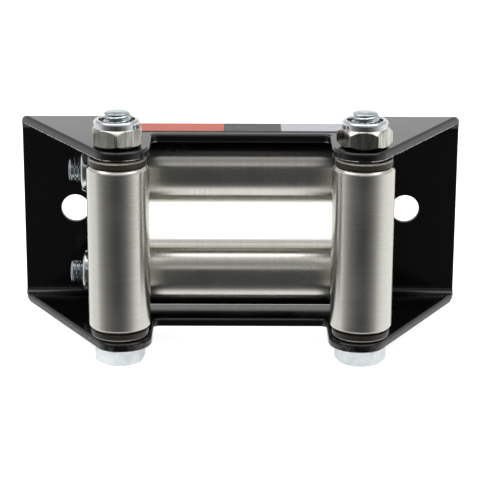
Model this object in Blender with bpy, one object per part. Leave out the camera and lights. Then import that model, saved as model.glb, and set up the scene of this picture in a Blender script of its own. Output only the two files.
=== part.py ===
"""Roller fairlead: four rollers in a bent steel bracket that guide a winch rope.

Metres, +Z up. +X runs to the right along the bracket and +Y runs back to the face that is bolted down.
The origin is under the middle of the fairlead, level with the undersides of the upright bolts' heads.
"""
import math

import bmesh
import bpy
from mathutils import Matrix, Vector

# Bracket, one bent and punched sheet
plate_thickness = 0.0030
bend_inner_radius = 0.0030
bracket_width = 0.1622
bracket_height = 0.0725
mounting_hole_spacing = 0.1240
mounting_hole_diameter = 0.0105
flange_window_depth = 0.0170
window_corner_radius = 0.0020
strip_overhang = 0.0020
strip_corner_radius = 0.0020
diagonal_setback = 0.0037
diagonal_reach = 0.0101
nose_lip = 0.0005
nose_inner_radius = 0.0110
nose_outer_radius = 0.0080
ear_spacing = 0.0910
ear_flange_gap = 0.0037
ear_lobe = 0.0105
ear_corner_radius = 0.0080

# Rollers
vertical_roller_diameter = 0.0220
vertical_roller_spacing = 0.0860
horizontal_roller_diameter = 0.0245
horizontal_roller_setback = 0.0070
roller_flange_gap = 0.0014
cross_gap = 0.0075
roller_wall = 0.0030
roller_chamfer = 0.0012
roller_bore_chamfer = 0.0005

# Flanged bushings
bushing_flange_thickness = 0.0025
bushing_flange_step = 0.0008
bushing_sleeve_length = 0.0100
bushing_edge_round = 0.0006

# Bolts and lock nuts
bolt_diameter = 0.0100
bolt_head_height = 0.0064
bolt_head_across_flats = 0.0160
bolt_tip_chamfer = 0.0010
vertical_thread_past_nut = 0.0028
horizontal_thread_past_nut = 0.0049
nut_across_flats = 0.0170
nut_height = 0.0092
nut_hex_height = 0.0066
nut_collar_step = 0.0003
nut_collar_round = 0.0008
nut_lip_opening = 0.0013
nut_lip_thickness = 0.0005
insert_height = 0.0020
insert_wall = 0.0017
hex_chamfer_share = 0.95
hex_chamfer_angle = math.radians(30)

# Clearances
seat_gap = 0.00025
bore_clearance = 0.00025
punched_hole_clearance = 0.0004
vertical_end_play = 0.0008

# How far each hexagon is turned, seen from its own free end
left_nut_turn = math.radians(-87)
right_nut_turn = math.radians(-64.5)
left_head_turn = math.radians(-101)
right_head_turn = math.radians(-65.5)
upper_nut_turn = math.radians(0)
lower_nut_turn = math.radians(30)

# Facets round a full turn
roller_segments = 40
bushing_segments = 32
hex_segments = 36
hole_segments = 32
bend_segments = 6
corner_degrees_per_segment = 12

# What follows from the sizes above
bend_outer_radius = plate_thickness + bend_inner_radius
half_height = bracket_height / 2
inner_half_height = half_height - plate_thickness
ear_inner_x = ear_spacing / 2
ear_outer_x = ear_inner_x + plate_thickness
window_half_width = ear_inner_x + bend_outer_radius
ear_half_height = inner_half_height - ear_flange_gap

vertical_roller_radius = vertical_roller_diameter / 2
horizontal_roller_radius = horizontal_roller_diameter / 2
vertical_roller_x = vertical_roller_spacing / 2
horizontal_axis_setback = horizontal_roller_setback + horizontal_roller_radius
horizontal_axis_height = inner_half_height - roller_flange_gap - horizontal_roller_radius
vertical_axis_setback = (horizontal_axis_setback + horizontal_roller_radius + cross_gap
                         + vertical_roller_radius)
nose_reach = vertical_roller_radius + nose_lip
bracket_depth = vertical_axis_setback + nose_reach
strip_front_setback = horizontal_axis_setback + horizontal_roller_radius + strip_overhang
ear_front_setback = horizontal_axis_setback + ear_lobe

bushing_stack = 2 * seat_gap + bushing_flange_thickness
vertical_roller_length = bracket_height - 2 * plate_thickness - 2 * bushing_stack - vertical_end_play
horizontal_roller_length = ear_spacing - 2 * bushing_stack
bolt_radius = bolt_diameter / 2
bushing_bore_radius = bolt_radius + bore_clearance

rear_y = bracket_depth / 2
bracket_base_z = bolt_head_height + seat_gap
middle_z = bracket_base_z + half_height
vertical_axis_y = rear_y - vertical_axis_setback
horizontal_axis_y = rear_y - horizontal_axis_setback


def clear_scene():
    for old in list(bpy.data.objects):
        bpy.data.objects.remove(old, do_unlink=True)


def finish_material(name, colour, metallic, roughness):
    """A Principled BSDF with one colour, gloss and metallic value."""
    material = bpy.data.materials.new(name)
    material.use_nodes = True
    shader = material.node_tree.nodes["Principled BSDF"]
    shader.inputs["Base Color"].default_value = (*colour, 1.0)
    shader.inputs["Metallic"].default_value = metallic
    shader.inputs["Roughness"].default_value = roughness
    return material


def object_from(name, bm, material):
    """Turns a bmesh into a named object, smooth where its faces meet at a slight angle."""
    bmesh.ops.recalc_face_normals(bm, faces=bm.faces)
    mesh = bpy.data.meshes.new(name)
    bm.to_mesh(mesh)
    bm.free()
    mesh.materials.append(material)
    mesh.shade_smooth()
    mesh.set_sharp_from_angle(angle=math.radians(30))
    made = bpy.data.objects.new(name, mesh)
    bpy.context.scene.collection.objects.link(made)
    return made


def stand_upright(made, x, y, z, point_down=False):
    """Places a turned piece with its own axis along Z."""
    made.location = (x, y, z)
    made.rotation_euler = (math.pi, 0, 0) if point_down else (0, 0, 0)


def lay_across(made, x, y, z, towards_right=True):
    """Places a turned piece with its own axis along X."""
    made.location = (x, y, z)
    made.rotation_euler = (0, math.pi / 2 if towards_right else -math.pi / 2, 0)


def rounded_path(corners):
    """Points along a closed outline whose corners (x, y, radius) are rounded with arcs.

    Where two arcs would meet on one side, both are made smaller by the same share.
    """
    count = len(corners)
    here = [Vector(corner[:2]) for corner in corners]
    to_next = [here[(i + 1) % count] - here[i] for i in range(count)]
    half_angle = [(-to_next[i - 1]).angle(to_next[i]) / 2 for i in range(count)]
    cut = [corner[2] / math.tan(angle) for corner, angle in zip(corners, half_angle)]
    wanted = [max(cut[i] + cut[(i + 1) % count], 1e-9) for i in range(count)]
    share = [min(1.0, 0.98 * side.length / length) for side, length in zip(to_next, wanted)]
    points = []
    for i in range(count):
        reach = cut[i] * min(share[i - 1], share[i])
        if reach == 0:
            points.append(here[i])
            continue
        back = -to_next[i - 1].normalized()
        ahead = to_next[i].normalized()
        centre = here[i] + (back + ahead).normalized() * reach / math.cos(half_angle[i])
        start = here[i] + back * reach - centre
        end = here[i] + ahead * reach - centre
        sweep = start.angle_signed(end)
        steps = max(2, math.ceil(math.degrees(abs(sweep)) / corner_degrees_per_segment))
        for k in range(steps + 1):
            turn = Matrix.Rotation(-sweep * k / steps, 2)
            points.append(centre + turn @ start)
    return points


def turned(name, profile, segments, material):
    """Spins a closed profile of (radius, height) points about Z."""
    bm = bmesh.new()
    points = [bm.verts.new((radius, 0, height)) for radius, height in profile]
    edges = [bm.edges.new((a, b)) for a, b in zip(points, points[1:] + points[:1])]
    bmesh.ops.spin(bm, geom=points + edges, cent=(0, 0, 0), axis=(0, 0, 1), angle=2 * math.pi,
                   steps=segments, use_merge=True, use_duplicate=False)
    bmesh.ops.remove_doubles(bm, verts=bm.verts, dist=1e-7)
    return object_from(name, bm, material)


def ring(segments, radius, height, turn=0.0):
    """Points round Z; radius and height are numbers or functions of the angle from a corner."""
    points = []
    for k in range(segments):
        angle = 2 * math.pi * k / segments
        r = radius(angle) if callable(radius) else radius
        h = height(angle) if callable(height) else height
        points.append((r * math.cos(angle + turn), r * math.sin(angle + turn), h))
    return points


def skin_rings(name, rings, material, hollow):
    """Joins rings of points with faces. A solid piece is capped, a hollow one closes on itself."""
    bm = bmesh.new()
    rows = [[bm.verts.new(point) for point in row] for row in rings]
    pairs = list(zip(rows, rows[1:]))
    if hollow:
        pairs.append((rows[-1], rows[0]))
    else:
        bm.faces.new(rows[0])
        bm.faces.new(rows[-1])
    for lower, upper in pairs:
        count = len(lower)
        for k in range(count):
            n = (k + 1) % count
            bm.faces.new((lower[k], lower[n], upper[n], upper[k]))
    return object_from(name, bm, material)


def hexagon_radius(across_flats):
    """Radius of a hexagon at an angle from one of its corners."""
    def radius(angle):
        from_flat = math.fmod(angle, math.pi / 3) - math.pi / 6
        return across_flats / 2 / math.cos(from_flat)
    return radius


def hexagon_chamfer(across_flats, inner_radius, level, sign):
    """Height of the curved edge where a cone of the chamfer's angle cuts the hexagon's sides."""
    radius = hexagon_radius(across_flats)

    def height(angle):
        return level + sign * (radius(angle) - inner_radius) * math.tan(hex_chamfer_angle)
    return height


def flange_outline():
    """The flange seen from above, as (x, setback) points from the left bend round to the right one.

    The diagonal side runs from the bracket's corner to a tangent of a circle round the roller's axis.
    """
    corner = Vector((bracket_width / 2, diagonal_setback))
    axis = Vector((vertical_roller_x, vertical_axis_setback))
    to_axis = axis - corner
    swing = math.asin(diagonal_reach / to_axis.length)
    along = (Matrix.Rotation(-swing, 2) @ to_axis).normalized()

    def diagonal_x(setback):
        return corner.x + along.x * (setback - corner.y) / along.y

    flank_x = vertical_roller_x - nose_reach
    bend_edge_x = min(bracket_width / 2, diagonal_x(bend_outer_radius))
    half = [
        (window_half_width, bend_outer_radius, 0),
        (bend_edge_x, bend_outer_radius, 0),
        (diagonal_x(bracket_depth), bracket_depth, nose_outer_radius),
        (flank_x, bracket_depth, nose_inner_radius),
        (flank_x, strip_front_setback, strip_corner_radius),
    ]
    inner = [(window_half_width, flange_window_depth, window_corner_radius)]
    right = inner + half
    left = [(-x, setback, radius) for x, setback, radius in reversed(right)]
    return right + left, diagonal_x


def bracket_skin():
    """The bracket's rear, top, bottom and ear faces as one open sheet, ready for its thickness."""
    bm = bmesh.new()
    found = {}

    def vertex(x, setback, height):
        key = (round(x, 7), round(setback, 7), round(height, 7))
        if key not in found:
            found[key] = bm.verts.new((x, rear_y - setback, middle_z + height))
        return found[key]

    outline, diagonal_x = flange_outline()
    flange_points = rounded_path(outline)
    arc = [(bend_outer_radius * (1 - math.cos(a)), bend_outer_radius * math.sin(a))
           for a in (math.pi / 2 * k / bend_segments for k in range(bend_segments + 1))]
    straight_top = half_height - bend_outer_radius
    for level in (1, -1):
        bm.faces.new([vertex(p.x, p.y, level * half_height) for p in flange_points])
    for side in (1, -1):
        inner_x = side * window_half_width
        outer_x = side * bracket_width / 2
        pad = [(outer_x, -straight_top), (outer_x, straight_top), (inner_x, straight_top),
               (inner_x, ear_half_height), (inner_x, -ear_half_height), (inner_x, -straight_top)]
        rear_face = bm.faces.new([vertex(x, 0, z) for x, z in pad])
        for level in (1, -1):
            for (s0, z0), (s1, z1) in zip(arc, arc[1:]):
                x0 = side * min(bracket_width / 2, diagonal_x(s0))
                x1 = side * min(bracket_width / 2, diagonal_x(s1))
                low = level * (straight_top + z0)
                high = level * (straight_top + z1)
                bm.faces.new((vertex(inner_x, s0, low), vertex(x0, s0, low),
                              vertex(x1, s1, high), vertex(inner_x, s1, high)))
        for (s0, w0), (s1, w1) in zip(arc, arc[1:]):
            x0 = side * (window_half_width - w0)
            x1 = side * (window_half_width - w1)
            bm.faces.new((vertex(x0, s0, -ear_half_height), vertex(x0, s0, ear_half_height),
                          vertex(x1, s1, ear_half_height), vertex(x1, s1, -ear_half_height)))
        ear = rounded_path([(bend_outer_radius, -ear_half_height, 0),
                            (bend_outer_radius, ear_half_height, 0),
                            (ear_front_setback, ear_half_height, ear_corner_radius),
                            (ear_front_setback, -ear_half_height, ear_corner_radius)])
        bm.faces.new([vertex(side * ear_inner_x, p.x, p.y) for p in ear])
    bmesh.ops.recalc_face_normals(bm, faces=bm.faces)
    if rear_face.normal.y < 0:
        bmesh.ops.reverse_faces(bm, faces=bm.faces)
    return bm


def hole_cutters():
    """All the bracket's round holes as one object of separate cylinders."""
    bm = bmesh.new()
    bolt_hole_radius = bolt_radius + punched_hole_clearance
    length = 4 * plate_thickness

    def add(radius, centre, rotation):
        bmesh.ops.create_cone(bm, cap_ends=True, segments=hole_segments, radius1=radius, radius2=radius,
                              depth=length, matrix=Matrix.Translation(centre) @ rotation)

    upright = Matrix.Identity(4)
    along_y = Matrix.Rotation(math.pi / 2, 4, "X")
    along_x = Matrix.Rotation(math.pi / 2, 4, "Y")
    for side in (1, -1):
        plate_middle = (side * mounting_hole_spacing / 2, rear_y - plate_thickness / 2, middle_z)
        add(mounting_hole_diameter / 2, plate_middle, along_y)
        for level in (1, -1):
            flange_middle = middle_z + level * (half_height - plate_thickness / 2)
            add(bolt_hole_radius, (side * vertical_roller_x, vertical_axis_y, flange_middle), upright)
            ear_middle = side * (ear_inner_x + plate_thickness / 2)
            add(bolt_hole_radius, (ear_middle, horizontal_axis_y, middle_z + level * horizontal_axis_height),
                along_x)
    mesh = bpy.data.meshes.new("bracket_hole_cutters")
    bm.to_mesh(mesh)
    bm.free()
    cutters = bpy.data.objects.new("bracket_hole_cutters", mesh)
    bpy.context.scene.collection.objects.link(cutters)
    cutters.hide_render = True
    cutters.display_type = "WIRE"
    return cutters


def make_bracket(material):
    """One sheet with its bends, ears and noses, given its thickness and then punched."""
    bm = bracket_skin()
    mesh = bpy.data.meshes.new("bracket")
    bm.to_mesh(mesh)
    bm.free()
    mesh.materials.append(material)
    bracket = bpy.data.objects.new("bracket", mesh)
    bpy.context.scene.collection.objects.link(bracket)
    thickness = bracket.modifiers.new("sheet thickness", "SOLIDIFY")
    thickness.thickness = plate_thickness
    thickness.offset = -1
    thickness.use_even_offset = True
    punching = bracket.modifiers.new("punched holes", "BOOLEAN")
    punching.operation = "DIFFERENCE"
    punching.solver = "EXACT"
    punching.object = hole_cutters()
    mesh.shade_smooth()
    mesh.set_sharp_from_angle(angle=math.radians(30))
    return bracket


def make_roller(name, radius, length, material):
    """A steel tube with turned ends, centred on its own axis."""
    bore = radius - roller_wall
    half = length / 2
    profile = [
        (bore, half - roller_bore_chamfer),
        (bore + roller_bore_chamfer, half),
        (radius - roller_chamfer, half),
        (radius, half - roller_chamfer),
        (radius, -half + roller_chamfer),
        (radius - roller_chamfer, -half),
        (bore + roller_bore_chamfer, -half),
        (bore, -half + roller_bore_chamfer),
    ]
    return turned(name, profile, roller_segments, material)


def make_bushing(name, roller_radius, material):
    """A flanged bushing whose flange starts at height 0 and whose sleeve points down into the roller."""
    flange_radius = roller_radius - bushing_flange_step
    sleeve_radius = roller_radius - roller_wall - bore_clearance
    top = bushing_flange_thickness
    edge = bushing_edge_round
    diagonal = edge * (1 - math.cos(math.pi / 4))
    profile = [
        (bushing_bore_radius, top),
        (flange_radius - edge, top),
        (flange_radius - diagonal, top - diagonal),
        (flange_radius, top - edge),
        (flange_radius, 0),
        (sleeve_radius, 0),
        (sleeve_radius, -bushing_sleeve_length),
        (bushing_bore_radius, -bushing_sleeve_length),
    ]
    return turned(name, profile, bushing_segments, material)


def make_bolt(name, grip, thread_past_nut, turn, material):
    """A hexagon-head bolt. Its head's free face is at height 0 and its shank points up."""
    radius = hexagon_radius(bolt_head_across_flats)
    face_radius = hex_chamfer_share * bolt_head_across_flats / 2
    tip = bolt_head_height + grip + thread_past_nut
    rings = [
        ring(hex_segments, face_radius, 0, turn),
        ring(hex_segments, radius, hexagon_chamfer(bolt_head_across_flats, face_radius, 0, 1), turn),
        ring(hex_segments, radius, bolt_head_height, turn),
        ring(hex_segments, bolt_radius, bolt_head_height, turn),
        ring(hex_segments, bolt_radius, tip - bolt_tip_chamfer, turn),
        ring(hex_segments, bolt_radius - bolt_tip_chamfer, tip, turn),
    ]
    return skin_rings(name, rings, material, hollow=False)


def make_nut(name, turn, material):
    """A lock nut with a rolled collar round its insert. Its seat is at height 0 and its collar is up."""
    radius = hexagon_radius(nut_across_flats)
    seat_radius = hex_chamfer_share * nut_across_flats / 2
    collar = nut_across_flats / 2 - nut_collar_step
    bore = bolt_radius + bore_clearance
    lip = bolt_radius + nut_lip_opening
    recess = bore + insert_wall + bore_clearance
    recess_floor = nut_height - nut_lip_thickness - insert_height - 2 * seat_gap
    curve = nut_collar_round
    rings = [
        ring(hex_segments, bore, 0, turn),
        ring(hex_segments, seat_radius, 0, turn),
        ring(hex_segments, radius, hexagon_chamfer(nut_across_flats, seat_radius, 0, 1), turn),
        ring(hex_segments, radius, hexagon_chamfer(nut_across_flats, collar, nut_hex_height, -1), turn),
        ring(hex_segments, collar, nut_hex_height, turn),
        ring(hex_segments, collar, nut_height - curve, turn),
        ring(hex_segments, collar - 0.3 * curve, nut_height - 0.3 * curve, turn),
        ring(hex_segments, collar - curve, nut_height, turn),
        ring(hex_segments, lip, nut_height, turn),
        ring(hex_segments, lip, nut_height - nut_lip_thickness, turn),
        ring(hex_segments, recess, nut_height - nut_lip_thickness, turn),
        ring(hex_segments, recess, recess_floor, turn),
        ring(hex_segments, bore, recess_floor, turn),
    ]
    return skin_rings(name, rings, material, hollow=True)


def make_insert(name, material):
    """The nylon ring that grips the thread, with its lower face at height 0."""
    bore = bolt_radius + bore_clearance
    profile = [(bore, 0), (bore + insert_wall, 0), (bore + insert_wall, insert_height), (bore, insert_height)]
    return turned(name, profile, bushing_segments, material)


def make_vertical_roller_set(side_name, side, head_turn, nut_turn, finishes):
    """An upright roller with its two bushings, bolt, lock nut and insert."""
    x = side * vertical_roller_x
    y = vertical_axis_y
    flange_top = bracket_base_z + plate_thickness
    lower_flange_z = flange_top + seat_gap + bushing_flange_thickness
    roller_base = lower_flange_z + seat_gap
    roller_top = roller_base + vertical_roller_length
    roller = make_roller("vertical_roller_" + side_name, vertical_roller_radius, vertical_roller_length,
                         finishes["roller"])
    stand_upright(roller, x, y, roller_base + vertical_roller_length / 2)
    bushing_name = "vertical_bushing_" + side_name
    lower = make_bushing(bushing_name + "_bottom", vertical_roller_radius, finishes["bushing"])
    stand_upright(lower, x, y, lower_flange_z, point_down=True)
    upper = make_bushing(bushing_name + "_top", vertical_roller_radius, finishes["bushing"])
    stand_upright(upper, x, y, roller_top + seat_gap)
    grip = bracket_height + 2 * seat_gap + nut_height
    bolt = make_bolt("vertical_bolt_" + side_name, grip, vertical_thread_past_nut, head_turn,
                     finishes["bolt"])
    stand_upright(bolt, x, y, 0)
    nut_seat = bracket_base_z + bracket_height + seat_gap
    nut = make_nut("vertical_nut_" + side_name, nut_turn, finishes["nut"])
    stand_upright(nut, x, y, nut_seat)
    insert = make_insert("vertical_nut_insert_" + side_name, finishes["nylon"])
    stand_upright(insert, x, y, nut_seat + nut_height - nut_lip_thickness - seat_gap - insert_height)


def make_horizontal_roller_set(level_name, level, nut_turn, finishes):
    """A roller across the opening with its two bushings, bolt, lock nut and insert."""
    y = horizontal_axis_y
    z = middle_z + level * horizontal_axis_height
    roller = make_roller("horizontal_roller_" + level_name, horizontal_roller_radius,
                         horizontal_roller_length, finishes["roller"])
    lay_across(roller, 0, y, z)
    flange_x = horizontal_roller_length / 2 + seat_gap
    for side_name, side in (("left", -1), ("right", 1)):
        bushing = make_bushing("horizontal_bushing_" + level_name + "_" + side_name, horizontal_roller_radius,
                               finishes["bushing"])
        lay_across(bushing, side * flange_x, y, z, towards_right=side > 0)
    seat_x = ear_outer_x + seat_gap
    grip = 2 * seat_x + nut_height
    bolt = make_bolt("horizontal_bolt_" + level_name, grip, horizontal_thread_past_nut, 0, finishes["bolt"])
    lay_across(bolt, seat_x + bolt_head_height, y, z, towards_right=False)
    nut = make_nut("horizontal_nut_" + level_name, nut_turn, finishes["nut"])
    lay_across(nut, -seat_x, y, z, towards_right=False)
    insert_seat = seat_x + nut_height - nut_lip_thickness - seat_gap - insert_height
    insert = make_insert("horizontal_nut_insert_" + level_name, finishes["nylon"])
    lay_across(insert, -insert_seat, y, z, towards_right=False)


def make_finishes():
    return {
        "coat": finish_material("black powder coat", (0.012, 0.012, 0.013), 0.0, 0.35),
        "roller": finish_material("turned stainless steel", (0.62, 0.61, 0.57), 1.0, 0.32),
        "bushing": finish_material("dark grey bushing", (0.10, 0.095, 0.085), 0.0, 0.45),
        "bolt": finish_material("zinc plated bolt", (0.72, 0.76, 0.77), 1.0, 0.28),
        "nut": finish_material("zinc plated nut", (0.66, 0.67, 0.64), 1.0, 0.25),
        "nylon": finish_material("dark nylon", (0.015, 0.018, 0.04), 0.0, 0.5),
    }


def main():
    clear_scene()
    finishes = make_finishes()
    make_bracket(finishes["coat"])
    make_vertical_roller_set("left", -1, left_head_turn, left_nut_turn, finishes)
    make_vertical_roller_set("right", 1, right_head_turn, right_nut_turn, finishes)
    make_horizontal_roller_set("upper", 1, upper_nut_turn, finishes)
    make_horizontal_roller_set("lower", -1, lower_nut_turn, finishes)
    bpy.context.view_layer.update()


main()
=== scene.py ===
# %% [markdown]
# # A roller fairlead, finished for a studio picture
#
# A fairlead guides the rope of a winch. Four steel rollers stand round an opening in a bent steel bracket, so
# the rope can leave up, down or sideways without sawing on an edge. The CAD model gives every size. This
# lesson adds what CAD leaves out: rounded sheet edges, threads, turned steel, powder coat, plating and light.

# %% Load the frame
import math

import bmesh
import bpy
from mathutils import Matrix, Vector


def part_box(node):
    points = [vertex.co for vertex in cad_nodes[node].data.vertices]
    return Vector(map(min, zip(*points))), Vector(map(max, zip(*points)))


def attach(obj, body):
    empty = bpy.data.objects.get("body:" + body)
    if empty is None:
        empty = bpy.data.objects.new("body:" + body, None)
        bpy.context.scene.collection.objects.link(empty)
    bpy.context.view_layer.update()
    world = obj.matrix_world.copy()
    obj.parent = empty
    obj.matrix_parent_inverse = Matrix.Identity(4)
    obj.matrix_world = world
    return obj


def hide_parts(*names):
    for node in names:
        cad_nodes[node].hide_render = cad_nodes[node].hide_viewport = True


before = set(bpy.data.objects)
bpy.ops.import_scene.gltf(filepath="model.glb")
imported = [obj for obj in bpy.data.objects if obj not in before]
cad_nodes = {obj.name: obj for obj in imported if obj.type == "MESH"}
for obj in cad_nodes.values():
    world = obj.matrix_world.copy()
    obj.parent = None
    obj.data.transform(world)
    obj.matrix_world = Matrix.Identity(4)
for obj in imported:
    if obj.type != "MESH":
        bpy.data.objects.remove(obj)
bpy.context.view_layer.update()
print("nodes in the frame:", len(cad_nodes))

# %% [markdown]
# ## Reading sizes from the CAD
#
# A finished piece has to stay where its CAD node is, so nothing here is measured twice. The centre and the
# span of a node's box say where each roller, bushing, bolt and nut sits, and how long and thick it is.

# %% Boxes of nodes


def centre_and_span(node):
    """Middle of a node's box and its size along X, Y and Z."""
    low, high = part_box(node)
    low = Vector(low)
    high = Vector(high)
    return (low + high) / 2, high - low


def round_sizes(node):
    """Middle, diameter and length of a round node. Upright ones stand along Z, and the others lie along X."""
    middle, span = centre_and_span(node)
    return (middle, span.x, span.z) if node.startswith("vertical") else (middle, span.z, span.x)


bracket_middle, bracket_span = centre_and_span("bracket")
print("bracket, mm:", [round(v * 1000, 2) for v in bracket_span])

# %% [markdown]
# ## Small tools for the materials
#
# Every finish below is a Principled shader fed by a few procedural patterns. These helpers add a node, link
# it and set its values, so that each material reads as a short recipe. They serve the world's nodes too. The
# patterns read Object coordinates, which are the CAD's own metres because every piece's object sits at the
# origin.

# %% Node helpers


def new_finish(name, colour, metallic, roughness):
    """A material with a Principled shader, its constants set on the shader's own sockets."""
    material = bpy.data.materials.new(name)
    material.use_nodes = True
    shader = material.node_tree.nodes["Principled BSDF"]
    shader.inputs["Base Color"].default_value = (*colour, 1.0)
    shader.inputs["Metallic"].default_value = metallic
    shader.inputs["Roughness"].default_value = roughness
    return material, shader


def add_node(owner, kind, **settings):
    """Adds a node to a material or the world. A setting goes to the socket or the property of its name."""
    node = owner.node_tree.nodes.new(kind)
    for key, value in settings.items():
        socket_name = key.replace("_", " ").title()
        if socket_name in node.inputs:
            node.inputs[socket_name].default_value = value
        else:
            setattr(node, key, value)
    return node


def link(owner, out_socket, in_socket):
    owner.node_tree.links.new(out_socket, in_socket)


def noise_pattern(material, scale, detail=3.0, roughness=0.5, stretch=(1, 1, 1)):
    """Noise on Object coordinates. Squeezed along some axes, it is drawn out along the others."""
    where = add_node(material, "ShaderNodeTexCoord")
    mapping = add_node(material, "ShaderNodeMapping")
    mapping.inputs["Scale"].default_value = stretch
    noise = add_node(material, "ShaderNodeTexNoise", scale=scale, detail=detail, roughness=roughness)
    link(material, where.outputs["Object"], mapping.inputs["Vector"])
    link(material, mapping.outputs["Vector"], noise.inputs["Vector"])
    return noise.outputs["Fac"]


def colour_ramp(owner, factor, stops, interpolation="LINEAR"):
    """Turns a pattern into colours. Stops are (place, colour)."""
    ramp = add_node(owner, "ShaderNodeValToRGB")
    ramp.color_ramp.interpolation = interpolation
    elements = ramp.color_ramp.elements
    while len(elements) < len(stops):
        elements.new(0.5)
    for element, (place, colour) in zip(elements, stops):
        element.position = place
        element.color = (*colour, 1.0)
    link(owner, factor, ramp.inputs["Fac"])
    return ramp.outputs["Color"]


def spread(owner, factor, low, high, from_low=0.3, from_high=0.7):
    """Maps a pattern to a range of values. The usual noise lies between 0.3 and 0.7."""
    remap = add_node(owner, "ShaderNodeMapRange")
    remap.inputs["From Min"].default_value = from_low
    remap.inputs["From Max"].default_value = from_high
    remap.inputs["To Min"].default_value = low
    remap.inputs["To Max"].default_value = high
    link(owner, factor, remap.inputs["Value"])
    return remap.outputs["Result"]


mix_first, mix_second, mix_result = 6, 7, 2  # where a Mix node keeps its colours


def blended(owner, blend_type, first, second):
    """Two colours blended at full strength."""
    mix = add_node(owner, "ShaderNodeMix", data_type="RGBA", blend_type=blend_type, factor=1.0)
    link(owner, first, mix.inputs[mix_first])
    link(owner, second, mix.inputs[mix_second])
    return mix.outputs[mix_result]


# %% Helpers that feed the shader


def colour_by(material, shader, pattern, stops):
    """Colours the surface by a pattern."""
    link(material, colour_ramp(material, pattern, stops), shader.inputs["Base Color"])


def gloss_by(material, shader, pattern, smooth, rough):
    """Varies the roughness between two values by a pattern."""
    link(material, spread(material, pattern, smooth, rough), shader.inputs["Roughness"])


def bump(material, shader, height, strength, distance):
    """Lets a pattern tilt the surface, with its depth in metres."""
    bump_node = add_node(material, "ShaderNodeBump", strength=strength, distance=distance)
    link(material, height, bump_node.inputs["Height"])
    link(material, bump_node.outputs["Normal"], shader.inputs["Normal"])


# %% [markdown]
# ## Black powder coat
#
# The bracket is sprayed with dry powder and baked, which leaves a deep black, glossy skin with a very faint
# orange peel. Fine noise tilts the surface a few micrometres for the peel, and broad noise changes the gloss
# a little, as handling does. The cut faces of the lower flange are scuffed, so they get the same coat with
# pale specks. Along the upper flange's sharp edge, a bright metal finish with dark specks paints a thin
# highlight line.

# %% Powder coat


def make_powder_coat(name, scuffs):
    """The black coat, with pale specks where it is scuffed."""
    material, shader = new_finish(name, (0.0018, 0.0018, 0.0019), metallic=0.0, roughness=0.16)
    shader.inputs["IOR"].default_value = 1.53
    if scuffs:
        speckle = noise_pattern(material, scale=1100.0, detail=6.0, roughness=0.7)
        colour_by(material, shader, speckle, [(0.5, (0.002, 0.002, 0.002)), (0.68, (0.1, 0.1, 0.095))])
    handling = noise_pattern(material, scale=38.0, detail=4.0)
    gloss_by(material, shader, handling, smooth=0.11, rough=0.2)
    peel = noise_pattern(material, scale=900.0, detail=2.0)
    bump(material, shader, peel, strength=0.25, distance=0.00003)
    return material


def make_edge_highlight_metal():
    """Bright steel with dark specks of coat, which paints the highlight line along the edge."""
    material, shader = new_finish("edge_highlight_metal", (0.5, 0.5, 0.5), metallic=0.9, roughness=0.3)
    speckle = noise_pattern(material, scale=700.0, detail=4.0)
    colour_by(material, shader, speckle, [(0.36, (0.05, 0.05, 0.05)), (0.52, (0.8, 0.8, 0.78))])
    gloss_by(material, shader, speckle, smooth=0.25, rough=0.4)
    return material


powder_coat = make_powder_coat("smooth_coat", scuffs=False)
scuffed_coat = make_powder_coat("scuffed_coat", scuffs=True)
# Bright metal on the upper flange's sharp edge, which paints a thin highlight line.
edge_highlight_metal = make_edge_highlight_metal()
print("materials:", powder_coat.name, scuffed_coat.name, edge_highlight_metal.name)

# %% [markdown]
# ## Turned steel
#
# The rollers are cut from stainless tube and turned on a lathe. The tool leaves rings round the axis, finer
# than the eye resolves, so the metal blurs reflections along the axis but keeps them fairly sharp round it.
# Anisotropy with a radial tangent does this, turned a quarter so that the blur lies along the axis. Noise
# squeezed along the axis draws the rings themselves, and a much finer noise adds a grain to them.

# %% Turned steel, once for each direction of axis
ring_squeeze = 60
grain_share = 0.5


def make_turned_steel(name, axis):
    """Steel that was turned about the X or the Z axis."""
    material, shader = new_finish(name, (0.72, 0.71, 0.65), metallic=1.0, roughness=0.24)
    shader.inputs["Anisotropic"].default_value = 0.65
    shader.inputs["Anisotropic Rotation"].default_value = 0.25
    tangent = add_node(material, "ShaderNodeTangent", direction_type="RADIAL", axis=axis)
    link(material, tangent.outputs["Tangent"], shader.inputs["Tangent"])
    squeeze = (ring_squeeze, 1, 1) if axis == "X" else (1, 1, ring_squeeze)
    rings = noise_pattern(material, scale=40.0, detail=5.0, roughness=0.65, stretch=squeeze)
    colour_by(material, shader, rings, [(0.25, (0.66, 0.645, 0.58)), (0.5, (0.72, 0.71, 0.65)),
                                        (0.75, (0.78, 0.775, 0.72))])
    blotches = noise_pattern(material, scale=90.0, detail=4.0)
    gloss_by(material, shader, blotches, smooth=0.2, rough=0.29)
    grain = noise_pattern(material, scale=1500.0, detail=3.0)
    relief = add_node(material, "ShaderNodeMath", operation="MULTIPLY_ADD")
    relief.inputs[1].default_value = grain_share
    link(material, grain, relief.inputs[0])
    link(material, rings, relief.inputs[2])
    bump(material, shader, relief.outputs["Value"], strength=0.14, distance=0.00002)
    return material


steel_upright = make_turned_steel("turned_steel_upright", "Z")
steel_crosswise = make_turned_steel("turned_steel_crosswise", "X")
print("materials:", steel_upright.name, steel_crosswise.name)

# %% [markdown]
# ## Zinc plating, bearing plastic and nylon
#
# The bolts are zinc plated. Their heads are frosted, a pale bluish white with clouds, and their rolled
# threads are brighter and more like metal. The nuts keep the drawn streaks of the hexagon bar under their
# plating. The bushings are dark bearing plastic, with a paler plastic along the rim that paints its thin
# highlight, and the rings in the lock nuts are dark blue nylon.

# %% Hardware finishes


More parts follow.
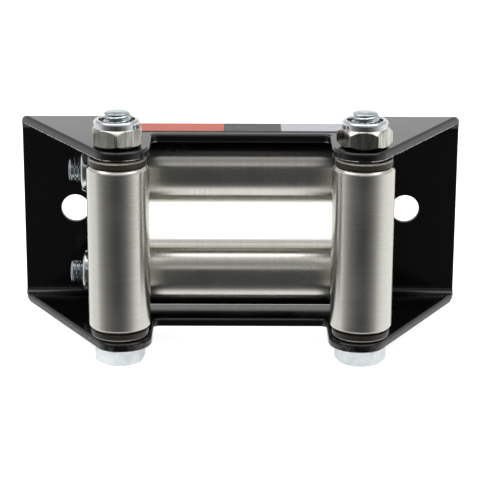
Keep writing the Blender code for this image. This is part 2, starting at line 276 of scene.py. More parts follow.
def make_zinc(name, dark, light, metallic, smooth, rough):
    """Zinc plating, clouded from dark to light and from smooth to rough."""
    material, shader = new_finish(name, light, metallic, rough)
    clouds = noise_pattern(material, scale=260.0, detail=6.0, roughness=0.6)
    colour_by(material, shader, clouds, [(0.3, dark), (0.7, light)])
    gloss_by(material, shader, clouds, smooth, rough)
    grain = noise_pattern(material, scale=1800.0, detail=3.0)
    bump(material, shader, grain, strength=0.15, distance=0.00002)
    return material


def make_drawn_zinc(name, squeeze):
    """Zinc over hexagon bar, with streaks drawn out along the bar's length."""
    material, shader = new_finish(name, (0.66, 0.66, 0.6), metallic=1.0, roughness=0.2)
    streaks = noise_pattern(material, scale=650.0, detail=5.0, roughness=0.6, stretch=squeeze)
    colour_by(material, shader, streaks, [(0.34, (0.28, 0.27, 0.22)), (0.5, (0.54, 0.535, 0.48)),
                                          (0.7, (0.76, 0.76, 0.72))])
    gloss_by(material, shader, streaks, smooth=0.12, rough=0.22)
    bump(material, shader, streaks, strength=0.1, distance=0.00002)
    return material


def make_plastic(name, dark, light, roughness):
    """Moulded plastic with a fine speckle."""
    material, shader = new_finish(name, light, metallic=0.0, roughness=roughness)
    speckle = noise_pattern(material, scale=1200.0, detail=4.0)
    colour_by(material, shader, speckle, [(0.35, dark), (0.65, light)])
    bump(material, shader, speckle, strength=0.12, distance=0.00003)
    return material


head_zinc = make_zinc("head_zinc", dark=(0.7, 0.76, 0.78), light=(0.95, 0.985, 0.98), metallic=0.3,
                      smooth=0.3, rough=0.46)
collar_zinc = make_zinc("collar_zinc", dark=(0.6, 0.63, 0.64), light=(0.8, 0.84, 0.86), metallic=1.0,
                        smooth=0.1, rough=0.2)
stud_zinc = make_zinc("stud_zinc", dark=(0.38, 0.43, 0.45), light=(0.78, 0.83, 0.85), metallic=1.0,
                      smooth=0.12, rough=0.24)
streak_squeeze = 0.12
nut_zinc_upright = make_drawn_zinc("nut_zinc_upright", (1, 1, streak_squeeze))
nut_zinc_crosswise = make_drawn_zinc("nut_zinc_crosswise", (streak_squeeze, 1, 1))
bushing_plastic = make_plastic("moulded_plastic", dark=(0.011, 0.0095, 0.006), light=(0.02, 0.0175, 0.012),
                               roughness=0.33)
# A paler plastic that paints the thin highlight on the bushings' rims.
rim_highlight_plastic = make_plastic("rim_highlight_plastic", dark=(0.2, 0.19, 0.165), light=(0.3, 0.29, 0.26),
                              roughness=0.28)
nylon = make_plastic("ring_nylon", dark=(0.004, 0.006, 0.02), light=(0.008, 0.011, 0.035), roughness=0.35)
print("materials:", len(bpy.data.materials))

# %% [markdown]
# ## Tools for the pieces
#
# Round pieces are built upright at the origin, then their mesh is turned and moved to where the CAD node is.
# The object itself stays at the origin. A piece is then tied to its body, and it stands for its CAD node.

# %% Piece helpers


def place_round(bm, node, at, flip=False):
    """Stands an upright node's piece at a point, or lays another along X. Flipped, it points down or left."""
    if node.startswith("vertical"):
        turn = Matrix.Rotation(math.pi, 4, "X") if flip else Matrix.Identity(4)
    else:
        turn = Matrix.Rotation(-math.pi / 2 if flip else math.pi / 2, 4, "Y")
    bmesh.ops.transform(bm, matrix=Matrix.Translation(at) @ turn, verts=bm.verts)


def place_from_head(bm, node):
    """Places a bolt, nut or ring from the heads' end, which is the bottom or the right of its node's box."""
    middle, _, length = round_sizes(node)
    if node.startswith("vertical"):
        place_round(bm, node, (middle.x, middle.y, middle.z - length / 2))
    else:
        place_round(bm, node, (middle.x + length / 2, middle.y, middle.z), flip=True)


def as_object(bm, name):
    """A bmesh as an object, with its doubles merged and its faces pointing outwards."""
    bmesh.ops.remove_doubles(bm, verts=bm.verts, dist=1e-7)
    bmesh.ops.recalc_face_normals(bm, faces=bm.faces)
    mesh = bpy.data.meshes.new(name)
    bm.to_mesh(mesh)
    bm.free()
    made = bpy.data.objects.new(name, mesh)
    bpy.context.scene.collection.objects.link(made)
    return made


def finished_piece(name, bm, finishes, body, slot, *nodes, sharp_angle=40):
    """Makes the piece, shades it, and ties it to the frame. A face's material number picks its finish."""
    piece = as_object(bm, name)
    for finish in finishes:
        piece.data.materials.append(finish)
    piece.data.shade_smooth()
    piece.data.set_sharp_from_angle(angle=math.radians(sharp_angle))
    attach(piece, body)
    if nodes:
        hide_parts(*nodes)
    return piece


# %% [markdown]
# ## Tools for the shapes
#
# Three helpers shape most pieces. One spins a profile round Z, one rounds the corners of a profile before it
# is spun, and one bevels edges. Two more find the sharp edges of a mesh and join its flat faces again, which
# a bevel needs on a mesh of triangles.

# %% Shape helpers


def spun(profile, segments=96, closed=True):
    """A bmesh turned round Z from a profile of (radius, height). An open one starts and ends on the axis."""
    bm = bmesh.new()
    points = [bm.verts.new((radius, 0, height)) for radius, height in profile]
    followers = points[1:] + points[:1] if closed else points[1:]
    edges = [bm.edges.new(pair) for pair in zip(points, followers)]
    bmesh.ops.spin(bm, geom=points + edges, cent=(0, 0, 0), axis=(0, 0, 1), angle=2 * math.pi, steps=segments,
                   use_merge=True, use_duplicate=False)
    return bm


def bevel(bm, edges, width, steps, clamp=False):
    """Rounds edges with the editor's usual settings, which bmesh needs to be told."""
    bmesh.ops.bevel(bm, geom=edges, offset=width, offset_type="OFFSET", segments=steps, profile=0.5,
                    affect="EDGES", clamp_overlap=clamp, material=-1)


def sharp_edges(bm, degrees):
    return [edge for edge in bm.edges
            if len(edge.link_faces) == 2 and edge.calc_face_angle() > math.radians(degrees)]


def join_flat_faces(bm, merge_distance):
    bmesh.ops.remove_doubles(bm, verts=bm.verts, dist=merge_distance)
    bmesh.ops.dissolve_limit(bm, angle_limit=math.radians(1), use_dissolve_boundaries=False, verts=bm.verts,
                             edges=bm.edges)


side_share = 0.4


def rounded(profile, radius, steps=3):
    """Rounds the corners of a closed profile, with no cut longer than a share of the sides next to it."""
    result = []
    count = len(profile)
    for i, corner in enumerate(profile):
        here = Vector(corner)
        before = Vector(profile[i - 1]) - here
        after = Vector(profile[(i + 1) % count]) - here
        cut = min(radius, side_share * before.length, side_share * after.length)
        start = here + before.normalized() * cut
        end = here + after.normalized() * cut
        for k in range(steps + 1):
            t = k / steps
            point = start * (1 - t) ** 2 + here * 2 * t * (1 - t) + end * t ** 2
            result.append((point.x, point.y))
    return result


# %% [markdown]
# ## The bracket
#
# The real bracket is punched from 3 mm sheet and folded. The punch draws the sheet's edge down on one side,
# and in the photograph both flanges are well rounded along their upper side. The other side is left nearly
# sharp, and along the upper flange it gets a bright metal finish, which paints a thin highlight line. The CAD
# mesh is loose triangles, so a copy is merged, and its flat faces are joined again before the two bevels.
# Then the cut faces of the lower flange and the painted highlight edge of the upper one get their own
# material numbers.

# %% Sizes of the bracket's edges
rolled_edge_round = 0.0012
sharp_edge_round = 0.0003
sheet = 0.003
bend_outer_radius = 0.006
bolt_hole_reach = 0.0065
notch_setback = 0.0175
notch_half_width = 0.0525
nearly = 0.0001
rear_face_y = bracket_middle.y + bracket_span.y / 2
half_height = bracket_span.z / 2
bolt_axes = [centre_and_span("vertical_bolt_" + side)[0] for side in ("left", "right")]
print("bracket's rear face at y, mm:", round(rear_face_y * 1000, 2))

# %% Which edges are rolled


def on_rolled_side(point):
    """Whether a point lies on the side that is well rounded: outside, but on top for the lower flange."""
    height = abs(point.z - bracket_middle.z)
    setback = rear_face_y - point.y
    if setback < notch_setback and abs(point.x) < notch_half_width and height < half_height - nearly:
        return False
    if point.z < bracket_middle.z and setback > bend_outer_radius - nearly:
        return half_height - sheet - nearly < height < half_height - sheet + nearly
    from_bend_y = point.y - (rear_face_y - bend_outer_radius)
    from_bend_z = height - (half_height - bend_outer_radius)
    if from_bend_y > 0 and from_bend_z > 0:
        return math.hypot(from_bend_y, from_bend_z) > bend_outer_radius - 2 * nearly
    return height > half_height - nearly or point.y > rear_face_y - nearly


def beside_bolt(point):
    """Whether a point is on the rim of a bolt hole, which stays crisp under the nut."""
    return any(math.hypot(point.x - axis.x, point.y - axis.y) < bolt_hole_reach for axis in bolt_axes)


# %% Which faces are scuffed or carry the painted highlight
# A face leans towards an axis when its normal's share along it is over the first value. Over the second it
# is the flat of the sheet.
tilted = 0.2
almost_level = 0.97
scuffed_number, edge_highlight_number = 1, 2


def number_scuffed_and_highlight_faces(bm):
    """Gives the scuffed faces and the painted highlight edge their material numbers."""
    for face in bm.faces:
        middle = face.calc_center_median()
        height = middle.z - bracket_middle.z
        in_flange = abs(height) > half_height - sheet - nearly
        if middle.y > rear_face_y - bend_outer_radius or not in_flange or abs(face.normal.x) < tilted:
            continue
        on_lower_edge = height < half_height - sheet + sharp_edge_round
        # The sharp lower edge of the upper flange takes the bright metal of the painted highlight.
        if height > 0 and on_lower_edge and -almost_level < face.normal.z < -tilted:
            face.material_index = edge_highlight_number
        elif height < 0 and abs(face.normal.z) < tilted:
            face.material_index = scuffed_number


# %% Bracket with rolled and sharp edges
edge_degrees = 40


def bracket_with_rounded_edges():
    bm = bmesh.new()
    bm.from_mesh(cad_nodes["bracket"].data)
    join_flat_faces(bm, 1e-6)
    rolled = [edge for edge in sharp_edges(bm, edge_degrees)
              if all(on_rolled_side(vert.co) and not beside_bolt(vert.co) for vert in edge.verts)]
    bevel(bm, rolled, rolled_edge_round, steps=6)
    bevel(bm, sharp_edges(bm, edge_degrees), sharp_edge_round, steps=2)
    for vert in bm.verts:
        vert.co.y = min(vert.co.y, rear_face_y)
    bm.normal_update()
    number_scuffed_and_highlight_faces(bm)
    print("rolled edges:", len(rolled))
    return bm


bracket = finished_piece("bracket_coated", bracket_with_rounded_edges(),
                         (powder_coat, scuffed_coat, edge_highlight_metal), "frame", "black_powder_coat", "bracket",
                         sharp_angle=50)
weighted = bracket.modifiers.new("flat flats", "WEIGHTED_NORMAL")
weighted.keep_sharp = True
weighted.weight = 100
print("bracket faces:", len(bracket.data.polygons))

# %% [markdown]
# ## The rollers
#
# Each roller is a length of tube, faced and chamfered at both ends. A profile is spun round the axis. The
# corners of the chamfer are rounded a little, so the bright line round each end is thin and soft.

# %% Rollers
roller_wall = 0.003
roller_end_chamfer = 0.0012
roller_bore_chamfer = 0.0005
roller_corner_round = 0.00045
roller_segments = 128


def roller_profile(radius, length):
    half = length / 2
    bore = radius - roller_wall
    corners = [
        (bore, -half + roller_bore_chamfer), (bore + roller_bore_chamfer, -half),
        (radius - roller_end_chamfer, -half), (radius, -half + roller_end_chamfer),
        (radius, half - roller_end_chamfer), (radius - roller_end_chamfer, half),
        (bore + roller_bore_chamfer, half), (bore, half - roller_bore_chamfer),
    ]
    return rounded(corners, roller_corner_round)


def make_roller(way, place, finish):
    """One roller, such as the vertical left one."""
    node = way + "_roller_" + place
    middle, diameter, length = round_sizes(node)
    bm = spun(roller_profile(diameter / 2, length), roller_segments)
    place_round(bm, node, middle)
    finished_piece(node + "_turned", bm, (finish,), way + "_roller_set_" + place, "turned_steel", node)
    print(node, "diameter and length, mm:", round(diameter * 1000, 2), round(length * 1000, 2))


for side in ("left", "right"):
    make_roller("vertical", side, steel_upright)
for level in ("upper", "lower"):
    make_roller("horizontal", level, steel_crosswise)

# %% [markdown]
# ## The bushings
#
# A flanged plastic bushing is pressed into each end of a roller and turns on the bolt. Only its flange
# shows, as a dark ring a little smaller than the roller. The faces of its soft edge get a paler plastic,
# which paints the thin highlight that the rim catches.

# %% Shape of a bushing
bushing_flange = 0.0025
bushing_bore = 0.00525
bushing_sleeve_inset = 0.00245
flange_rim = 0.0007
flange_rim_corner = 0.0002
bushing_corner_round = 0.0002


def bushing_profile(flange_radius, length):
    """The flange's free face is at the top. Its underside, on the roller, is at height 0."""
    sleeve = flange_radius - bushing_sleeve_inset
    top = bushing_flange
    corners = [
        (bushing_bore, top), (flange_radius - flange_rim, top),
        (flange_radius - flange_rim_corner, top - flange_rim_corner), (flange_radius, top - flange_rim),
        (flange_radius, 0), (sleeve, 0), (sleeve, top - length), (bushing_bore, top - length),
    ]
    return rounded(corners, bushing_corner_round)


print("bushing flange, mm:", round(bushing_flange * 1000, 2))

# %% Bushings
rim_highlight_number = 1


def paint_rim_highlight(piece, middle, outwards, flange_radius, half_length):
    """Paints the highlight on a flange's soft edge in paler plastic. Outwards points out of the roller's end.
    """
    for face in piece.data.polygons:
        from_middle = face.center - middle
        along = from_middle.dot(outwards)
        from_axis = from_middle - along * outwards
        # The rim's faces get the paler plastic of the painted highlight.
        if along > half_length - flange_rim and from_axis.length > flange_radius - flange_rim:
            face.material_index = rim_highlight_number


def make_bushing(node, body, outwards):
    middle, diameter, length = round_sizes(node)
    flange_underside = middle + outwards * (length / 2 - bushing_flange)
    bm = spun(bushing_profile(diameter / 2, length))
    place_round(bm, node, flange_underside, flip=min(outwards) < 0)
    piece = finished_piece(node + "_moulded", bm, (bushing_plastic, rim_highlight_plastic), body,
                           "bushing_plastic", node)
    paint_rim_highlight(piece, middle, outwards, diameter / 2, length / 2)


for side, rightwards in (("left", -1), ("right", 1)):
    for end, upwards in (("bottom", -1), ("top", 1)):
        make_bushing("vertical_bushing_" + side + "_" + end, "vertical_roller_set_" + side,
                     Vector((0, 0, upwards)))
    for level in ("upper", "lower"):
        make_bushing("horizontal_bushing_" + level + "_" + side, "horizontal_roller_set_" + level,
                     Vector((rightwards, 0, 0)))
print("bushings made: 8")

# %% [markdown]
# ## Hexagons with real chamfers
#
# Bolt heads and nuts are cut from hexagon bar and then turned, so a cone cuts their six sides in shallow
# arcs. The same two steps work here: a six-sided prism is cut by a spun body with the Boolean modifier,
# which gives the true arcs, and a fine bevel softens what the cut leaves.

# %% Hexagon helper
chamfer_angle = math.radians(30)
chamfer_circle_share = 0.95
cutter_reach_share = 0.6
prism_spare = 0.001
hexagon_softening = 0.00012
hexagon_edge_degrees = 25


def common_part(first, second):
    """What two bmeshes share, as a new bmesh. Nothing else is left behind."""
    base = as_object(first, "boolean base")
    tool = as_object(second, "boolean tool")
    modifier = base.modifiers.new("boolean", "BOOLEAN")
    modifier.operation = "INTERSECT"
    modifier.solver = "EXACT"
    modifier.object = tool
    solved = base.evaluated_get(bpy.context.evaluated_depsgraph_get())
    result = bmesh.new()
    result.from_mesh(solved.to_mesh())
    solved.to_mesh_clear()
    for used in (base, tool):
        mesh = used.data
        bpy.data.objects.remove(used, do_unlink=True)
        bpy.data.meshes.remove(mesh)
    return result


def hexagon_prism(across_flats, low, high, turn):
    """A six-sided prism with a corner turned from +X by an angle. The cone's own first corner is on +Y."""
    bm = bmesh.new()
    radius = across_flats / 2 / math.cos(math.pi / 6)
    bmesh.ops.create_cone(bm, cap_ends=True, segments=6, radius1=radius, radius2=radius, depth=high - low)
    centre = Matrix.Translation((0, 0, (low + high) / 2))
    bmesh.ops.transform(bm, matrix=centre @ Matrix.Rotation(turn - math.pi / 2, 4, "Z"), verts=bm.verts)
    return bm


def chamfered_hexagon(across_flats, height, cutter_profile, turn):
    """A prism cut by a spun body, with its sharp edges softened."""
    prism = hexagon_prism(across_flats, -prism_spare, height + prism_spare, turn)
    hexagon = common_part(prism, spun(cutter_profile))
    join_flat_faces(hexagon, 2e-6)
    bevel(hexagon, sharp_edges(hexagon, hexagon_edge_degrees), hexagon_softening, steps=2, clamp=True)
    return hexagon


print("chamfers cut at, degrees:", round(math.degrees(chamfer_angle)))

# %% [markdown]
# ## The bolts
#
# Each bolt has a hexagon head, a plain shank and an M10 thread of 1.5 mm pitch at its end. The shank is spun
# from a profile with a row of points every tenth of a millimetre along the thread. Each point is then moved
# in or out by how far it lies from the crest of a helix, which winds a true right-hand thread.

# %% Thread
bolt_radius = 0.005
thread_pitch = 0.0015
thread_depth = 0.0008
thread_crest_gap = 0.0001
thread_flank = 0.42
thread_row = 0.0001


def wind_thread(bm, start, end):
    """Moves the shank's points between two heights onto a helix with pointed crests and flat roots."""
    for vert in bm.verts:
        radius = math.hypot(vert.co.x, vert.co.y)
        if not start < vert.co.z <= end or radius < 0.5 * bolt_radius:
            continue
        turn = math.atan2(vert.co.y, vert.co.x) / (2 * math.pi)
        phase = (vert.co.z / thread_pitch - turn) % 1.0
        below_crest = min(1.0, abs(phase - 0.5) / thread_flank)
        run_in = min(1.0, (vert.co.z - start) / thread_pitch)
        crest = bolt_radius - thread_crest_gap - run_in * thread_depth * below_crest
        limit = min(radius, crest)
        vert.co.x *= limit / radius
        vert.co.y *= limit / radius


print("thread pitch, mm:", round(thread_pitch * 1000, 2))

# %% Threaded shank
thread_segments = 72
tip_dome_height = 0.0007
tip_dome_radius = 0.0045
tip_cone_slope = 0.6
tip_fullness = 0.8


def threaded_shank(length, thread_length):
    """The shank from height 0 up, with its thread at the far end and a domed tip."""
    start = length - thread_length
    dome_base = length - tip_dome_height
    rows = int(round((dome_base - start) / thread_row))
    profile = [(0, 0), (bolt_radius, 0), (bolt_radius, start)]
    for k in range(1, rows + 1):
        height = start + k * thread_row
        tip_cone = tip_dome_radius + tip_cone_slope * (dome_base - height)
        profile.append((min(bolt_radius, tip_cone), height))
    for angle in (math.radians(10 * k) for k in range(1, 9)):
        profile.append((tip_dome_radius * math.cos(angle) ** tip_fullness,
                        dome_base + tip_dome_height * math.sin(angle)))
    profile.append((0, length))
    bm = spun(profile, thread_segments, closed=False)
    bmesh.ops.remove_doubles(bm, verts=bm.verts, dist=1e-7)
    wind_thread(bm, start, dome_base)
    return bm


# %% Bolt head
bolt_head_flats = 0.016
bolt_head_height = 0.0064


def bolt_head(turn):
    """The head, with its free face at height 0 and its seat at the top."""
    inner = chamfer_circle_share * bolt_head_flats / 2
    outer = cutter_reach_share * bolt_head_flats
    rise = (outer - inner) * math.tan(chamfer_angle)
    seat = bolt_head_height
    profile = [(0, 0), (inner, 0), (outer, rise), (outer, seat - rise), (inner, seat), (0, seat)]
    return chamfered_hexagon(bolt_head_flats, seat, profile, turn)


def merged(*parts):
    """Several bmeshes as one, each still its own closed shell and with its own material number."""
    bm = bmesh.new()
    for number, part in enumerate(parts):
        mesh = bpy.data.meshes.new("part")
        for face in part.faces:
            face.material_index = number
        part.to_mesh(mesh)
        part.free()
        bm.from_mesh(mesh)
        bpy.data.meshes.remove(mesh)
    return bm


# %% Bolts
bolt_head_turns = {"left": math.radians(-101), "right": math.radians(-65.5), "upper": 0, "lower": 0}
thread_lengths = {"vertical": 0.014, "horizontal": 0.016}
shank_in_head = 0.001
hardware_sharp_angle = 35


def make_bolt(way, place):
    """One bolt, such as the vertical left one."""
    node = way + "_bolt_" + place
    length = round_sizes(node)[2]
    shank = threaded_shank(length - bolt_head_height + shank_in_head, thread_lengths[way])
    bmesh.ops.translate(shank, vec=(0, 0, bolt_head_height - shank_in_head), verts=shank.verts)
    bm = merged(bolt_head(bolt_head_turns[place]), shank)
    place_from_head(bm, node)
    finished_piece(node + "_threaded", bm, (head_zinc, stud_zinc), "frame", "plated_bolt", node,
                   sharp_angle=hardware_sharp_angle)
    print(node, "length, mm:", round(length * 1000, 1))


bolt_places = (("vertical", "left"), ("vertical", "right"), ("horizontal", "upper"), ("horizontal", "lower"))
for way, place in bolt_places:
    make_bolt(way, place)

# %% [markdown]
# ## The lock nuts
#
# Each nut is a hexagon with both ends chamfered and a round collar rolled over its nylon ring. The hexagon
# is cut like the bolt head. The collar is spun with a full, soft rim and a small lip over the ring. The
# nylon shows as a dark ring round the thread.

# %% Nut's hexagon
nut_flats = 0.017
nut_hex_height = 0.0066
nut_bore = 0.00525
nut_top_chamfer_angle = math.radians(46)
nut_foot_steepness = 1.35
collar_inset = 0.0003


def nut_hexagon(turn):
    inner = chamfer_circle_share * nut_flats / 2
    collar = nut_flats / 2 - collar_inset
    outer = cutter_reach_share * nut_flats
    top = nut_hex_height
    rise = (outer - inner) * math.tan(chamfer_angle) * nut_foot_steepness
    fall = (outer - collar) * math.tan(nut_top_chamfer_angle)
    profile = [(nut_bore, 0), (inner, 0), (outer, rise), (outer, top - fall), (collar, top), (nut_bore, top)]
    return chamfered_hexagon(nut_flats, top, profile, turn)


# %% Nut's collar
nut_lip_radius = 0.0063
nut_lip_depth = 0.0005
nut_lip_chamfer = 0.0001
collar_sink = 0.0002
collar_rim = 0.0013
insert_outer = 0.00695
insert_gap = 0.00025


def nut_collar(height):
    """The collar, with a full round rim and a lip over the nylon ring."""
    outer = nut_flats / 2 - collar_inset
    base = nut_hex_height - collar_sink
    recess = insert_outer + insert_gap
    lip = height - nut_lip_depth
    rim = collar_rim
    profile = [(recess, base), (outer, base)]
    profile += [(outer - rim + rim * math.cos(a), height - rim + rim * math.sin(a))
                for a in (math.radians(15 * k) for k in range(7))]
    profile += [(nut_lip_radius + nut_lip_chamfer, height - nut_lip_chamfer), (nut_lip_radius, lip),
                (recess, lip)]
    return spun(profile)


# %% Lock nuts and their rings
nut_turns = {"left": math.radians(-87), "right": math.radians(-64.5), "upper": 0.0, "lower": math.radians(30)}
nut_finishes = {"vertical": nut_zinc_upright, "horizontal": nut_zinc_crosswise}
insert_crown = 0.0003
insert_segments = 64


def make_nut(way, place):
    """One lock nut, such as the vertical left one."""
    node = way + "_nut_" + place
    bm = merged(nut_hexagon(nut_turns[place]), nut_collar(round_sizes(node)[2]))
    place_from_head(bm, node)
    finished_piece(node + "_plated", bm, (nut_finishes[way], collar_zinc), "frame", "plated_nut", node,
                   sharp_angle=hardware_sharp_angle)


def make_insert(way, place):
    """The nylon ring, domed a little where the thread has pressed it up."""
    node = way + "_nut_insert_" + place
    height = round_sizes(node)[2]
    profile = [(nut_bore, 0), (insert_outer, 0), (insert_outer, height), (nut_lip_radius, height),
               (nut_bore + insert_crown, height), (nut_bore, height - insert_crown)]
    bm = spun(profile, insert_segments)
    place_from_head(bm, node)
    finished_piece(node + "_ring", bm, (nylon,), "frame", "nylon", node)


for way, place in bolt_places:
    make_nut(way, place)
    make_insert(way, place)
print("nuts and rings made: 8")

# %% [markdown]
# ## The blank strip on the top flange
#
# A thin printed foil lies along the top flange. This one is blank: three plain panels in salmon, grey and
# white, with a dark line along the front. It is a thin plate with rounded corners, and the panels follow X
# in its material.

# %% Finish of the strip
strip_left = -0.0372
strip_right = 0.0372
strip_rear_setback = 0.0176
strip_front_setback = 0.0304
strip_border = 0.0014
strip_border_fade = 0.0001
strip_border_tone = 0.05
panels = [(0.0, (0.62, 0.14, 0.08)), (0.415, (0.075, 0.073, 0.07)), (0.695, (0.56, 0.56, 0.6))]


def make_foil_material():
    """Three panels along X, darkened along the front edge and a little worn."""
    material, shader = new_finish("blank_foil", (0.8, 0.8, 0.8), metallic=0.0, roughness=0.5)
    shader.inputs["Specular IOR Level"].default_value = 0.3
    where = add_node(material, "ShaderNodeTexCoord")
    split = add_node(material, "ShaderNodeSeparateXYZ")
    link(material, where.outputs["Object"], split.inputs["Vector"])
    along = spread(material, split.outputs["X"], 0.0, 1.0, strip_left, strip_right)
    panel_colour = colour_ramp(material, along, panels, interpolation="CONSTANT")
    border_y = rear_face_y - strip_front_setback + strip_border
    inside = spread(material, split.outputs["Y"], strip_border_tone, 1.0,
                    border_y - strip_border_fade, border_y)
    bordered = add_node(material, "ShaderNodeVectorMath", operation="SCALE")
    link(material, panel_colour, bordered.inputs[0])
    link(material, inside, bordered.inputs["Scale"])
    wear = noise_pattern(material, scale=500.0, detail=4.0)
    wear_colour = colour_ramp(material, wear, [(0.3, (0.9, 0.9, 0.9)), (0.6, (1, 1, 1))])
    worn = blended(material, "MULTIPLY", bordered.outputs["Vector"], wear_colour)
    link(material, worn, shader.inputs["Base Color"])
    gloss_by(material, shader, wear, smooth=0.36, rough=0.5)
    return material


print("panels on the strip:", len(panels))

# %% Blank strip
strip_corner_round = 0.0006
foil_thickness = 0.00012
flange_top_z = bracket_middle.z + half_height


def make_foil():
    """The plate that the panels are on, with rounded corners."""
    bm = bmesh.new()
    bmesh.ops.create_cube(bm, size=1.0)
    size = (strip_right - strip_left, strip_front_setback - strip_rear_setback, foil_thickness)
    bmesh.ops.scale(bm, vec=size, verts=bm.verts)
    upright = [edge for edge in bm.edges
               if abs(edge.verts[0].co.z - edge.verts[1].co.z) > 0.5 * foil_thickness]
    bevel(bm, upright, strip_corner_round, steps=4)
    middle_y = rear_face_y - (strip_rear_setback + strip_front_setback) / 2
    middle = ((strip_left + strip_right) / 2, middle_y, flange_top_z + foil_thickness / 2)
    bmesh.ops.translate(bm, vec=middle, verts=bm.verts)
    return bm


finished_piece("blank_strip", make_foil(), (make_foil_material(),), "frame", "black_powder_coat")
print("blank strip, mm:", round((strip_right - strip_left) * 1000, 1))

# %% [markdown]
# ## Floor and background
#
# The picture has a plain white ground. The floor is pale and lit by the same studio, and a little of its own
# light is added for the camera alone, so that it reaches white and still keeps the fairlead's soft shadow.
# Metal mirrors the room's own floor instead, which the next step draws.

# %% Floor
floor_half_size = 6.0
floor_own_light = 0.8


def make_floor():
    bm = bmesh.new()
    bmesh.ops.create_grid(bm, x_segments=1, y_segments=1, size=floor_half_size)
    mesh = bpy.data.meshes.new("floor")
    bm.to_mesh(mesh)
    bm.free()
    floor = bpy.data.objects.new("floor", mesh)
    bpy.context.scene.collection.objects.link(floor)
    material, shader = new_finish("floor_paper", (0.86, 0.86, 0.86), metallic=0.0, roughness=0.9)
    shader.inputs["Specular IOR Level"].default_value = 0.1
    shader.inputs["Emission Color"].default_value = (1.0, 1.0, 1.0, 1.0)
    path = add_node(material, "ShaderNodeLightPath")
    own_light = add_node(material, "ShaderNodeMath", operation="MULTIPLY")
    own_light.inputs[1].default_value = floor_own_light
    link(material, path.outputs["Is Camera Ray"], own_light.inputs[0])
    link(material, own_light.outputs["Value"], shader.inputs["Emission Strength"])
    mesh.materials.append(material)
    floor.visible_glossy = False
    return floor


floor = make_floor()
print("floor material:", floor.data.materials[0].name)

# %% [markdown]
# ## The room
#
# Polished rollers show the room, so the room is drawn with care. It is pale all round, and darker in front,
# behind the camera. Three ramps hold it. One goes round the walls by the compass angle, one dims the upper
# walls, and one goes from the floor to the ceiling by height. Where walls or ceiling are bright, the room is
# bright. The camera itself sees plain white behind the fairlead.

# %% World
world = bpy.data.worlds.new("studio")
bpy.context.scene.world = world
world.use_nodes = True
world.node_tree.nodes.clear()

# Brightness by compass degrees from straight in front, and by height from -1, below, to 1, above.
round_the_room = [(-140, 1.0), (-86, 0.78), (-76, 0.48), (-62, 0.28), (-44, 0.15), (-20, 0.075), (0, 0.055),
                  (20, 0.095), (36, 0.2), (50, 0.37), (62, 0.62), (80, 0.88), (110, 1.0)]
upper_walls = [(0.3, 1.0), (0.42, 0.3), (0.62, 0.3), (0.8, 1.0)]
floor_to_ceiling = [(-0.87, 1.0), (-0.79, 0.55), (-0.71, 0.08), (-0.5, 0.0), (0.25, 0.0), (0.42, 0.05),
                    (0.45, 0.6), (0.5, 0.55), (0.68, 0.2), (0.84, 0.42), (0.9, 0.68), (0.95, 0.8)]


def brightness_ramp(value, low, high, stops):
    """Brightness along a value between low and high. Stops are (value, brightness)."""
    places = [((at - low) / (high - low), (brightness, brightness, brightness)) for at, brightness in stops]
    return colour_ramp(world, spread(world, value, 0.0, 1.0, low, high), places)


# %% Room
direction = add_node(world, "ShaderNodeTexCoord")
axes = add_node(world, "ShaderNodeSeparateXYZ")
link(world, direction.outputs["Generated"], axes.inputs["Vector"])
towards_front = add_node(world, "ShaderNodeMath", operation="MULTIPLY")
towards_front.inputs[1].default_value = -1.0
link(world, axes.outputs["Y"], towards_front.inputs[0])
compass = add_node(world, "ShaderNodeMath", operation="ARCTAN2")
link(world, axes.outputs["X"], compass.inputs[0])
link(world, towards_front.outputs["Value"], compass.inputs[1])
degrees = add_node(world, "ShaderNodeMath", operation="DEGREES")
link(world, compass.outputs["Value"], degrees.inputs[0])
walls = blended(world, "MULTIPLY", brightness_ramp(degrees.outputs["Value"], -180, 180, round_the_room),
                brightness_ramp(axes.outputs["Z"], -1, 1, upper_walls))
room = blended(world, "SCREEN", walls, brightness_ramp(axes.outputs["Z"], -1, 1, floor_to_ceiling))

# %% Room for the light, white for the camera
room_light = add_node(world, "ShaderNodeBackground")
link(world, room, room_light.inputs["Color"])
plain_white = add_node(world, "ShaderNodeBackground", color=(1.0, 1.0, 1.0, 1.0))
paths = add_node(world, "ShaderNodeLightPath")
either = add_node(world, "ShaderNodeMixShader")
link(world, paths.outputs["Is Camera Ray"], either.inputs["Fac"])
link(world, room_light.outputs["Background"], either.inputs[1])
link(world, plain_white.outputs["Background"], either.inputs[2])
world_out = add_node(world, "ShaderNodeOutputWorld")
link(world, either.outputs["Shader"], world_out.inputs["Surface"])
print("world nodes:", len(world.node_tree.nodes))

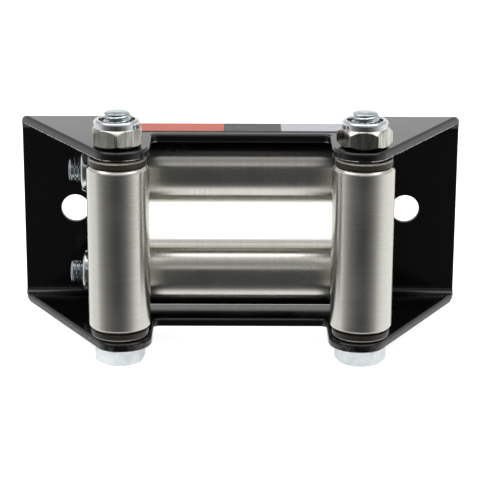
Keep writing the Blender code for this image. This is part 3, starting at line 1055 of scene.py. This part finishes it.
# %% [markdown]
# ## A softbox overhead and a low fill
#
# The pale room has no direction of its own. A long softbox straight overhead gives the short soft shadow on
# the floor. It also puts the thin bright lines on the edges of the sheet, in the bend of the bracket and
# along the lower roller. A weak fill from low in front whitens the frosted bolt heads. Polished metal doesn't
# mirror it, because the photograph shows no second light there.

# %% Softbox and fill
fill_aim = Vector((0, 0, 0.04))


def area_light(name, width, depth, watts, at):
    data = bpy.data.lights.new(name, "AREA")
    data.shape = "RECTANGLE"
    data.size = width
    data.size_y = depth
    data.energy = watts
    light = bpy.data.objects.new(name, data)
    bpy.context.scene.collection.objects.link(light)
    light.location = at
    return light


softbox = area_light("overhead softbox", width=1.3, depth=0.5, watts=2.6, at=(-0.06, -0.02, 0.85))
fill = area_light("low front fill", width=0.7, depth=0.25, watts=4.6, at=(-0.1, -0.75, 0.14))
fill.rotation_euler = (fill_aim - fill.location).to_track_quat("-Z", "Y").to_euler()
fill.visible_glossy = False
print("softbox at", tuple(round(v, 2) for v in softbox.location))

# %% [markdown]
# ## The camera
#
# The photograph was taken from the front, about 17 degrees above level and 0.7 m away, with a long lens.
# Those values come from fitting the fairlead's corners, holes and rollers, so the picture lines up with it.

# %% Camera
camera_sensor = 36.0
camera_lens = 144.4
camera_nearest = 0.01
camera_distance = 0.7
camera_rise = 0.19978
camera_x = -0.00188
camera_pitch = 0.2955
camera_yaw = 0.0026
camera_roll = 0.0035
camera_data = bpy.data.cameras.new("camera")
camera_data.sensor_width = camera_sensor
camera_data.lens = camera_lens
camera_data.clip_start = camera_nearest
camera = bpy.data.objects.new("camera", camera_data)
bpy.context.scene.collection.objects.link(camera)
tilt = Matrix.Rotation(-camera_yaw, 3, "Z") @ Matrix.Rotation(math.pi / 2 - camera_pitch, 3, "X")
camera.rotation_euler = (tilt @ Matrix.Rotation(camera_roll, 3, "Z")).to_euler()
camera.location = (camera_x, rear_face_y - camera_distance, bracket_middle.z + camera_rise)
bpy.context.scene.camera = camera
bpy.context.scene.view_settings.view_transform = "Standard"
print("camera at", tuple(round(v, 4) for v in camera.location))
